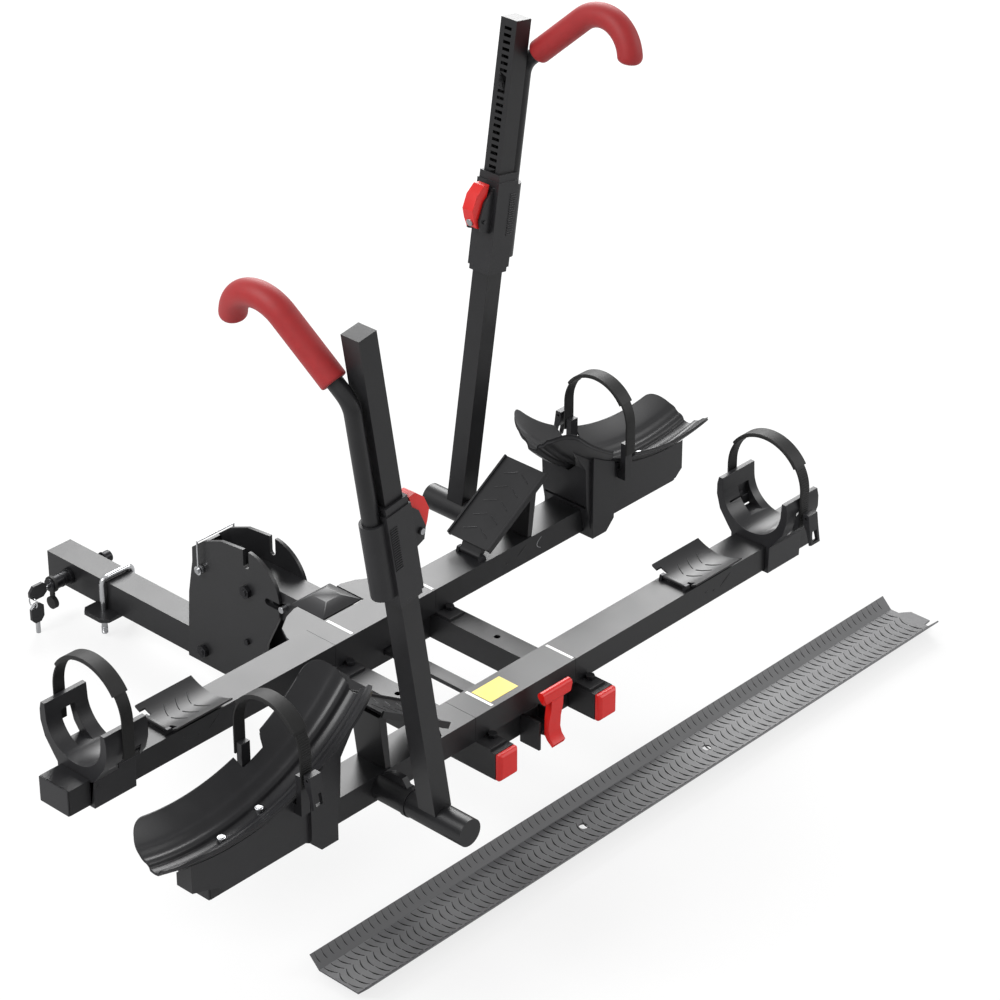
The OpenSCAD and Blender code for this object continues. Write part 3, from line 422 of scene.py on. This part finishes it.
# Each dash is its start, middle and end, as offsets from the ramp's corner of the floor.
FLOOR_DASHES = (
    ((8, 37, 0), (6, 25, 0), (13, 15, 0)),
    ((14, 12, 0), (4, 1, 0), (5, -11, 0)),
    ((6, -14, 0), (5, -26, 0), (12, -36, 0)),
)
FLANGE_DASHES = [((12, s * 40, 0.6), (4, s * 47, 8.4), (7, s * 56, 17.6)) for s in (1, -1)]


def pressed(dash, thick):
    """One row of dashes along the whole ramp."""
    points = [(RAMP_X + x, RAMP_Y + y, RAMP_Z + z) for x, y, z in dash]
    return bars(STEPS, (PITCH, 0, 0), *points, thick, RAMP, blunt=0.55)


# The dashes and ridges are coloured with the near-black painted shade.
tread = joined("ramp_pressed_dashes", [pressed(dash, 2.8) for dash in FLOOR_DASHES])
place(tread, PAINTED_SHADE_COAT, "ramp_body", RAMP)
ridges = joined("ramp_flange_ridges", [pressed(dash, 2.6) for dash in FLANGE_DASHES])
place(ridges, PAINTED_SHADE_COAT, "ramp_body", RAMP)
print("ramp pattern:", len(tread.data.polygons), "faces")

# %% [markdown]
# ## Swept pieces
# A strap is a flat band bent over a wheel and a grip is a round sleeve on a bent tube: both are a
# section carried along a path. The path is a list of places with the direction across it, the
# section is a list of (across, outward) offsets, and each ring of the mesh is one step of the path.

# %% A sweep helper
def sweep(name, path, section, closed_ends=True):
    """path lists (place, across, outward, scale) and section lists (across, outward), in mm."""
    shape = bmesh.new()
    rings = []
    for at, across, outward, scale in path:
        rings.append([shape.verts.new((at + across * (a * scale) + outward * (b * scale)) * MM)
                      for a, b in section])
    n = len(section)
    for one, two in zip(rings, rings[1:]):
        for i in range(n):
            shape.faces.new((one[i], one[(i + 1) % n], two[(i + 1) % n], two[i]))
    if closed_ends:
        shape.faces.new(list(reversed(rings[0])))
        shape.faces.new(rings[-1])
    bmesh.ops.recalc_face_normals(shape, faces=shape.faces)
    mesh = bpy.data.meshes.new(name)
    shape.to_mesh(mesh)
    shape.free()
    return mesh


def disc(radius, count):
    """A round section."""
    turns = [2 * math.pi * i / count for i in range(count)]
    return [(radius * math.cos(t), radius * math.sin(t)) for t in turns]


# %% [markdown]
# ## Foam grips
# Each hook carries a red foam sleeve that was pushed on over the bend. It follows the hook's slope
# and its bend, starts with a small rounded edge and ends in a rounded tip. The real sleeve is a
# fixed firm shape, so it is built by the sweep, with no simulation.

# %% The grips
# The hook's slope, its lower bend and radius, its upper radius and reach, and its height.
HOOK_A, HOOK_B, HOOK_R1 = math.radians(43), math.radians(47), 40
HOOK_R2, HOOK_Y, HOOK_S, HOOK_X = 59, 142, 299, -30
GRIP_START, GRIP_TURN = 17, 131
bend_y, bend_z = HOOK_R1 * (1 - math.cos(HOOK_B)), HOOK_R1 * math.sin(HOOK_B)
slope_y = HOOK_Y - HOOK_R2 * math.sin(HOOK_A)
slope_z = bend_z + (slope_y - bend_y) * math.tan(HOOK_A)
top_z = slope_z - HOOK_R2 * math.cos(HOOK_A)
slope_len = (slope_y - bend_y) / math.cos(HOOK_A)


def grip_path():
    """Centre line of the sleeve in the mast's frame, from its lower edge to its tip."""
    line = []
    for i in range(13):
        s = GRIP_START + (slope_len - GRIP_START) * i / 12
        line.append((bend_y + s * math.cos(HOOK_A), bend_z + s * math.sin(HOOK_A), HOOK_A))
    for i in range(1, 41):
        t = math.radians(GRIP_TURN + 2) - math.radians(GRIP_TURN) * i / 40
        line.append((HOOK_Y + HOOK_R2 * math.cos(t), top_z + HOOK_R2 * math.sin(t), t - math.pi / 2))
    return line


def grip(end):
    """The foam sleeve of one hook."""
    line = grip_path()
    lengths = [0.0]
    for (y0, z0, _), (y1, z1, _) in zip(line, line[1:]):
        lengths.append(lengths[-1] + math.hypot(y1 - y0, z1 - z0))
    total, radius, edge, tip = lengths[-1], 19.0, 3.0, 11.0

    def at(s):
        for i in range(len(lengths) - 1):
            if s <= lengths[i + 1] or i == len(lengths) - 2:
                f = (s - lengths[i]) / (lengths[i + 1] - lengths[i])
                return [a + (b - a) * f for a, b in zip(line[i], line[i + 1])]

    stations = [(edge * (1 - math.cos(a)), (radius - edge + edge * math.sin(a)) / radius)
                for a in [math.pi / 2 * k / 4 for k in range(5)]]
    stations += [(edge + (total - edge - tip) * k / 56, 1.0) for k in range(1, 57)]
    stations += [(total - tip + tip * math.sin(a), (radius - tip + tip * math.cos(a)) / radius)
                 for a in [math.pi / 2 * k / 8 for k in range(1, 9)]]
    path = []
    for s, scale in stations:
        y, z, turn = at(s)
        outward = Vector((0, -math.sin(turn), math.cos(turn)))
        path.append((Vector((0, y, z)), Vector((1, 0, 0)), outward, scale))
    mesh = sweep(end + "_grip", path, disc(radius, 40))
    mesh.transform(AT[end] @ IN_MAST @ Matrix.Translation(mm(HOOK_X, 0, SLIDER_AT[end] + HOOK_S)))
    piece = object_from(end + "_foam_grip", mesh)
    for face in mesh.polygons:
        face.use_smooth = True
    mesh.set_sharp_from_angle(angle=math.radians(60))
    place(piece, FINISH["red_foam"], end + "_slider_body", "red_foam", [end + "_foam"])
    return piece


for end in AT:
    grip(end)
print("grip length", round(slope_len - GRIP_START + HOOK_R2 * math.radians(GRIP_TURN)), "mm")

# %% [markdown]
# ## Rubber straps
# Each strap arches over a tyre: a flat band with a thicker pad over the top, where it presses on the
# rim, and cross ridges on the near leg for the buckle's pawl. The band is swept, the pad is swept a
# little thicker and wider over the top part of the same arc, and the ridges are a row of bars.

# %% The straps
BAND = [(-10, -1.2), (-9.2, -1.75), (9.2, -1.75), (10, -1.2),
        (10, 1.2), (9.2, 1.75), (-9.2, 1.75), (-10, 1.2)]
PAD = [(-13, -1.5), (-12, -1.76), (12, -1.76), (13, -1.5),
       (13, 2.6), (11.6, 4.2), (-11.6, 4.2), (-13, 2.6)]
TOOTH_STEP, TOOTH_OUT, TOOTH = 3.8, 1.7, 1.6


def strap(end, kind, x, half, foot, apex):
    """The strap at x, half wide inside, with its feet and its top at the given heights."""
    thick, body = 3.5, f"{end}_{kind}_body"
    radius, centre = half + thick / 2, apex - half - thick
    across = Vector((1, 0, 0))

    def arch(a):
        out = Vector((0, -math.cos(a), math.sin(a)))
        return Vector((x, -radius * math.cos(a), centre + radius * math.sin(a))), out

    def tooth(count, y, z):
        return bars(count, (0, 0, TOOTH_STEP), (x - 8, y, z), (x, y, z), (x + 8, y, z),
                    TOOTH, RUBBER, bow=1, blunt=1.0)

    leg = centre - foot
    band = [(Vector((x, -radius, foot + leg * i / 8)), across, Vector((0, -1, 0)), 1)
            for i in range(8)]
    for i in range(49):
        at, out = arch(math.pi * i / 48)
        band.append((at, across, out, 1))
    band += [(Vector((x, radius, centre - leg * i / 8)), across, Vector((0, 1, 0)), 1)
             for i in range(1, 9)]
    strip = sweep("band", band, BAND)
    low, high = math.radians(34), math.radians(146)
    pad = []
    for i in range(33):
        at, out = arch(low + (high - low) * i / 32)
        pad.append((at, across, out, 1.0))
    sleeve = sweep("pad", pad, PAD)
    teeth = [tooth(max(3, int((leg - 4) / TOOTH_STEP)), -radius - TOOTH_OUT, foot + 4)]
    for k in range(10):
        at, out = arch(math.radians(3.3 * k))
        at += out * TOOTH_OUT
        teeth.append(tooth(1, at.y, at.z))
    meshes = [strip, sleeve, *teeth]
    for mesh in meshes:
        mesh.transform(AT[end])
    piece = joined(f"{end}_{kind}_rubber_strap", meshes)
    round_edges(piece, 0)
    return place(piece, FINISH[RUBBER], body, RUBBER, [f"{end}_{kind}_strap"])


for end in AT:
    strap(end, "scoop", -490, 62.4, 305, 420)
    strap(end, "cradle", 561.5, 69.4, 261, 392)
print("4 straps")

# %% [markdown]
# ## Wheel scoops
# A scoop is a moulded valley that a tyre rolls into: it curves up along its length like a piece of a
# big wheel, and up to both sides. Two ribs run along each side and a groove with two bolt heads runs
# down the middle. Its outline is broad and round at the outer end, notched where the strap passes,
# and tapered at the inner end. The mesh is a grid that follows this outline, once for the top and
# once for the underside, and three rings that stand out between them make the rounded rim.

# %% The scoops
SCOOP_X, SCOOP_Z, SCOOP_R, SCOOP_HALF, SCOOP_DEEP = -610, 621, 380, 62, 44
SCOOP_WALL, COLUMNS = 4, 96
# Where the two ends start to round off, and their corner radii.
OUTER_X, OUTER_R, INNER_X, INNER_R = -60, 38, 232, 44


def eased(t):
    """A soft step from 0 to 1."""
    t = min(1, max(0, t))
    return t * t * (3 - 2 * t)


def half_width(x):
    """Half width of the outline at x mm from the wheel's axle."""
    if x < OUTER_X:
        return SCOOP_HALF - OUTER_R + math.sqrt(OUTER_R**2 - (x - OUTER_X) ** 2)
    if x > INNER_X:
        return SCOOP_HALF - INNER_R + math.sqrt(INNER_R**2 - (x - INNER_X) ** 2)
    return SCOOP_HALF - 13 * eased((x - 105) / 6) * (1 - eased((x - 148) / 7))


def valley(h):
    """Radius from the axle to the surface at h mm from the middle."""
    h = abs(h)
    groove = 4 * (1 - eased((h - 8) / 3))
    ribs = sum(1.6 * math.exp(-(((h - at) / wide) ** 2)) for at, wide in ((15, 4.0), (30, 4.6)))
    return SCOOP_R - SCOOP_DEEP * (h / SCOOP_HALF) ** 1.7 + groove - ribs


def scoop(end):
    """The shell of one scoop."""
    xs = [OUTER_X - OUTER_R * math.sin(math.radians(84 - 84 * i / 18)) for i in range(18)]
    xs += [OUTER_X + (INNER_X - OUTER_X) * i / 136 for i in range(137)]
    xs += [INNER_X + INNER_R * math.sin(math.radians(80 * i / 14)) for i in range(1, 15)]
    shape = bmesh.new()

    def skin(wall):
        grid = []
        for x in xs:
            row = []
            for j in range(COLUMNS + 1):
                h = half_width(x) * (2 * j / COLUMNS - 1)
                r = valley(h) + (wall + 1.5 * abs(h) / SCOOP_HALF if wall else 0)
                row.append(shape.verts.new(mm(SCOOP_X + x, h, SCOOP_Z - math.sqrt(r * r - x * x))))
            grid.append(row)
        return grid

    def rim(grid):
        return (grid[0] + [row[-1] for row in grid[1:-1]] + list(reversed(grid[-1]))
                + [row[0] for row in reversed(grid[1:-1])])

    top, under = skin(0), skin(SCOOP_WALL)
    for grid in (top, under):
        for one, two in zip(grid, grid[1:]):
            for i in range(COLUMNS):
                shape.faces.new((one[i], two[i], two[i + 1], one[i + 1]))
    upper, lower = rim(top), rim(under)
    count = len(upper)
    rings = [upper]
    for part, bulge in ((0.2, 0.9), (0.5, 1.5), (0.8, 0.9)):
        ring = []
        for i in range(count):
            along = upper[(i + 2) % count].co - upper[i - 2].co
            out = along.cross(Vector((0, 0, -1)))
            out.z = 0
            out.normalize()
            ring.append(shape.verts.new(upper[i].co.lerp(lower[i].co, part) - out * (bulge * MM)))
        rings.append(ring)
    rings.append(lower)
    for one, two in zip(rings, rings[1:]):
        for i in range(count):
            shape.faces.new((one[i], one[(i + 1) % count], two[(i + 1) % count], two[i]))
    bmesh.ops.recalc_face_normals(shape, faces=shape.faces)
    mesh = bpy.data.meshes.new("scoop")
    shape.to_mesh(mesh)
    shape.free()
    for face in mesh.polygons:
        face.use_smooth = True
    piece = object_from(end + "_scoop_shell", mesh)
    mesh.transform(AT[end])
    return place(piece, FINISH[NYLON], end + "_scoop_body", NYLON, [end + "_scoop"])


for end in AT:
    scoop(end)
print("2 scoops")

# %% [markdown]
# ## Embossed chevrons on the raised rests
# Five chevrons point up the slope of each raised rest. Each is two thin ridges, so they are two rows
# of straight bars in the rest's own sloping frame.

# %% The chevrons
SLOPE, PLATE_TOP = 32, 21.6
TILT = (Matrix.Translation(mm(-197, 0, 228)) @ Matrix.Scale(-1, 4, (1, 0, 0))
        @ Matrix.Rotation(math.radians(-SLOPE), 4, "Y"))
for end in AT:
    arms = [bars(5, (27, 0, 0), (24, s * 24, PLATE_TOP), (29, s * 14, PLATE_TOP), (34, s * 4, PLATE_TOP),
                 1.5, POWDER, AT[end] @ TILT, bow=1, blunt=1.0) for s in (-1, 1)]
    place(joined(end + "_rest_chevrons", arms), FINISH[POWDER], end + "_tall_rest_body", POWDER)

# %% [markdown]
# The flat rests carry three such chevrons, lying across the shallow trough, and their arms climb
# with it.

# %% The flat rests' chevrons
TROUGH_X, TROUGH_LEN, TROUGH_Z = 344, 104, 229.2
for end, x in (("rear", TROUGH_X), ("front", -TROUGH_X - TROUGH_LEN)):
    where = Matrix.Translation(mm(x, AT[end].translation.y / MM, TROUGH_Z))
    arms = [bars(3, (22, 0, 0), (24, s * 3, 0), (28, s * 14, 0.6), (36, s * 25, 3.6),
                 1.4, POWDER, where, bow=4, blunt=1.0) for s in (-1, 1)]
    place(joined(end + "_flat_rest_chevrons", arms), FINISH[POWDER], end + "_flat_rest_body", POWDER)

# %% [markdown]
# ## Ridges on the sliders
# The rear slider shows a column of short ridges that a thumb can grip. They are a row of bars on its
# outward face, and the same column is on the other slider.

# %% Slider ridges
SLIDER_SIDE, RIDGE_Z = 22.5, 54
IN_SLIDER = {end: AT[end] @ IN_MAST @ Matrix.Translation(mm(0, 0, SLIDER_AT[end])) for end in AT}
for end in AT:
    rows = []
    for y in (-SLIDER_SIDE, SLIDER_SIDE):
        rows.append(bars(18, (0, 0, 3.8), (-20, y, RIDGE_Z), (-14, y, RIDGE_Z), (-7, y, RIDGE_Z),
                         2.2, NYLON, IN_SLIDER[end], bow=1, blunt=1.0))
    place(joined(end + "_slider_ridges", rows), FINISH[NYLON], end + "_slider_body", NYLON)

# %% [markdown]
# A bright screw head sits low on the face of each red trigger, and a bright nut closes each slider's
# cross pin.

# %% Screw heads
def head(radius, height, where):
    """A round flat head."""
    shape = bmesh.new()
    bmesh.ops.create_cone(shape, cap_ends=True, segments=28, radius1=radius * MM,
                          radius2=radius * MM, depth=height * MM)
    mesh = bpy.data.meshes.new("head")
    shape.to_mesh(mesh)
    shape.free()
    mesh.transform(where)
    return mesh


for end in AT:
    tilted = (IN_SLIDER[end] @ Matrix.Translation(mm(54.0, 0, 78))
              @ Matrix.Rotation(math.radians(112), 4, "Y"))
    screw = joined(end + "_trigger_screw", [head(6.2, 2.6, tilted)])
    round_edges(screw, 0.7)
    place(screw, FINISH[ZINC], end + "_trigger_body", RED)
    across = (IN_SLIDER[end] @ Matrix.Translation(mm(38.3, -18.6, 80))
              @ Matrix.Rotation(math.radians(90), 4, "X"))
    nut = joined(end + "_pin_nut", [head(4.4, 1.6, across)])
    round_edges(nut, 0.4)
    place(nut, FINISH[ZINC], end + "_slider_body", NYLON)

# %% [markdown]
# ## The cradles' side windows
# Each cradle's wall has a moulded window that is closed by a thin web and three slats. The web lies
# inside the wall, so that the window is a recess from both sides.

# %% Webs and slats
for end in AT:
    web = block("web", (531, 55.5, 240), (570, 58, 270), AT[end])
    slats = bars(3, (0, 2.6, 8), (535, 57, 247), (550, 57, 247), (566, 57, 247),
                 3.2, NYLON, AT[end], bow=1, blunt=1.0)
    window = joined(end + "_cradle_window", [web, slats])
    place(window, FINISH[NYLON], end + "_cradle_body", NYLON)

# %% [markdown]
# ## Marks on the arms
# The arms' near faces carry a slanted slot, a small hole and an arc, punched where the fold rests hook
# in. They are shallow forms: rows of one bar, flattened against the face. The slot and hole marks are
# near-black painted shade, for the shade inside the punched recesses.

# %% Punched marks
def mark(points, thick, y):
    """One flattened bar through three (x, z) places on a beam's near face."""
    flat = Matrix.Translation(mm(0, y, 0)) @ Matrix.Scale(0.12, 4, (0, 1, 0))
    (x0, z0), (x1, z1), (x2, z2) = points
    return bars(1, (0, 0, 0), (x0, 0, z0), (x1, 0, z1), (x2, 0, z2), thick, POWDER, flat, bow=8, blunt=0.5)


REAR_FACE, FRONT_FACE = -1006.5, -723.9
marks = [
    mark([(417, 199.6), (429, 207), (440, 213.8)], 4.5, REAR_FACE),
    mark([(380, 205), (384, 202), (388, 206)], 3, REAR_FACE),
    mark([(399, 199), (402, 199), (405, 199.5)], 4.5, REAR_FACE),
    mark([(269.5, 201.2), (279, 207.3), (289.4, 213.1)], 4.5, FRONT_FACE),
    mark([(243, 198.4), (245.3, 198.6), (248, 198.8)], 4.5, FRONT_FACE),
    mark([(-378, 198.6), (-366, 208), (-356, 215.5)], 4.0, FRONT_FACE),
    mark([(-428, 212), (-424, 199), (-407, 203)], 2.2, FRONT_FACE),
    mark([(-398, 199), (-396, 199.3), (-394, 199.6)], 4.0, FRONT_FACE),
]
# The dark marks are coloured with the near-black painted shade for the punched recesses.
place(joined("punched_marks", marks), PAINTED_SHADE_COAT, "platform", POWDER)
arc = mark([(324, 214), (304, 203), (322, 195)], 1.6, FRONT_FACE)
place(joined("arc_mark", [arc]), FINISH[ZINC], "platform", POWDER)

# %% [markdown]
# ## Threads of the U-bolt
# The two ends under the nuts are threaded: eight thin rings on each, 1.5 mm apart.

# %% Threads
def ring(radius, thick, at, steps=24):
    """A thin ring that lies flat."""
    path = []
    for i in range(steps + 1):
        a = 2 * math.pi * i / steps
        out = Vector((math.cos(a), math.sin(a), 0))
        path.append((Vector(at) + out * radius, Vector((0, 0, 1)), out, 1.0))
    return sweep("ring", path, disc(thick, 6), closed_ends=False)


LEG_X, LEG_Y, THREAD_Z, THREAD_STEP = 32, -89, -68, 1.5
threads = [ring(4.9, 0.55, (side * LEG_X, LEG_Y, THREAD_Z + THREAD_STEP * k))
           for side in (-1, 1) for k in range(8)]
thread_piece = joined("u_bolt_threads", threads)
for face in thread_piece.data.polygons:
    face.use_smooth = True
place(thread_piece, FINISH[CHROME], "hitch", CHROME)

# %% [markdown]
# ## Stripes and the blank patch
# Thin white stripes mark the ends of the middle parts of both beams, and a yellow film patch lies on
# the rear one. They are thin sheets a tenth of a millimetre above the paint.

# %% Films
FILM, FILM_Z, STRIPE, STRIPE_X = 0.25, 223.05, 5, 88


def film(name, x0, x1, y0, y1, finish):
    """A thin sheet on the beams' tops."""
    piece = object_from(name, block(name, (x0, y0, FILM_Z), (x1, y1, FILM_Z + FILM)))
    round_edges(piece, 0.08, 1)
    return place(piece, finish, "platform")


for beam in AT:
    y = AT[beam].translation.y / MM
    for side, x in (("left", -STRIPE_X), ("right", STRIPE_X - STRIPE)):
        film(f"{beam}_{side}_white_stripe", x, x + STRIPE, y - 26, y + 26, WHITE_TAPE)
film("blank_yellow_patch", -81, -23, -995, -957, YELLOW_PATCH)

# %% [markdown]
# ## Floor, light and camera
# The rack stands in a plain pale studio: a wide floor under its lowest point and a soft even world.
# A broad lamp behind the rack is mirrored in the flat tops, and draws the light gradients along the
# beams and scoops. A lamp over the left shoulder and a weaker one at the right shape the rest. To the
# camera the floor and the sky are nearly white, with a soft shadow left; in reflections both are
# greyer, so that upright black faces stay dark. The camera is a long lens, about 16 degrees across,
# placed by matching the beams' vanishing directions.

# %% The studio
WIDE, ground = 12, cad_box[0][2]
corners = [(x * WIDE, y * WIDE, ground) for x, y in ((-1, -1), (1, -1), (1, 1), (-1, 1))]
floor_mesh = bpy.data.meshes.new("floor")
floor_mesh.from_pydata(corners, [], [(0, 1, 2, 3)])
floor = object_from("studio_floor", floor_mesh)
paper = bpy.data.materials.new("studio_paper")
paper.use_nodes = True
tree = paper.node_tree
tree.nodes.clear()
path = add(tree, "ShaderNodeLightPath").outputs
matt = add(tree, "ShaderNodeBsdfDiffuse", {"Color": colour("#EFEFEF")})
dull = add(tree, "ShaderNodeBsdfDiffuse", {"Color": colour("#B0B0B0")})
lit = add(tree, "ShaderNodeEmission", {"Color": (1, 1, 1, 1), "Strength": 1.0})
share = add(tree, "ShaderNodeMath", {1: 0.78}, {0: path["Is Camera Ray"]}, operation="MULTIPLY")
lower = add(tree, "ShaderNodeMixShader", None,
            {0: path["Is Glossy Ray"], 1: matt.outputs[0], 2: dull.outputs[0]})
shown = add(tree, "ShaderNodeMixShader", None,
            {0: share.outputs[0], 1: lower.outputs[0], 2: lit.outputs[0]})
add(tree, "ShaderNodeOutputMaterial", None, {"Surface": shown.outputs[0]})
floor.data.materials.append(paper)
floor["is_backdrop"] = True

world = bpy.data.worlds.new("studio")
bpy.context.scene.world = world
world.use_nodes = True
tree = world.node_tree
tree.nodes.clear()
path = add(tree, "ShaderNodeLightPath").outputs
white = add(tree, "ShaderNodeBackground", {"Color": (1, 1, 1, 1), "Strength": 1.0})
even = add(tree, "ShaderNodeBackground", {"Color": (1, 1, 1, 1), "Strength": 0.6})
mix = add(tree, "ShaderNodeMixShader", None,
          {0: path["Is Camera Ray"], 1: even.outputs[0], 2: white.outputs[0]})
add(tree, "ShaderNodeOutputWorld", None, {"Surface": mix.outputs[0]})


def lamp(name, at, aim, size, watts):
    """A round area lamp that points at aim."""
    data = bpy.data.lights.new(name, "AREA")
    data.shape, data.size, data.energy = "DISK", size, watts
    made = bpy.data.objects.new(name, data)
    bpy.context.scene.collection.objects.link(made)
    made.location = at
    made.rotation_mode = "QUATERNION"
    made.rotation_quaternion = (Vector(at) - Vector(aim)).to_track_quat("Z", "Y")


middle = (0.0, -0.7, 0.3)
lamp("broad_behind", (3.3, 2.4, 3.0), middle, 3.4, 230)
lamp("key_over_left", (-3.2, 0.2, 3.6), middle, 2.4, 140)
lamp("fill_right", (3.6, -3.4, 2.4), middle, 2.2, 55)

lens = bpy.data.cameras.new("view")
lens.lens, lens.sensor_width, lens.sensor_fit = 126.66, 36.0, "HORIZONTAL"
lens.clip_start, lens.clip_end = 0.05, 60
camera = bpy.data.objects.new("view", lens)
bpy.context.scene.collection.objects.link(camera)
turn, lift = math.radians(-47.06), math.radians(29.97)
back = Vector((math.sin(turn) * math.cos(lift), -math.cos(turn) * math.cos(lift), math.sin(lift)))
camera.rotation_mode = "QUATERNION"
camera.rotation_quaternion = (-back).to_track_quat("-Z", "Y")
camera.location = (-3.1493, -3.8683, 2.9802)
bpy.context.scene.camera = camera
bpy.context.scene.view_settings.view_transform = "Standard"

# %% Measure and finish
shown_box = [list(corner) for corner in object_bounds()]
past = [[round((s - c) / MM, 1) for s, c in zip(a, b)] for a, b in zip(shown_box, cad_box)]
print("shown past the solids, mm:", past)
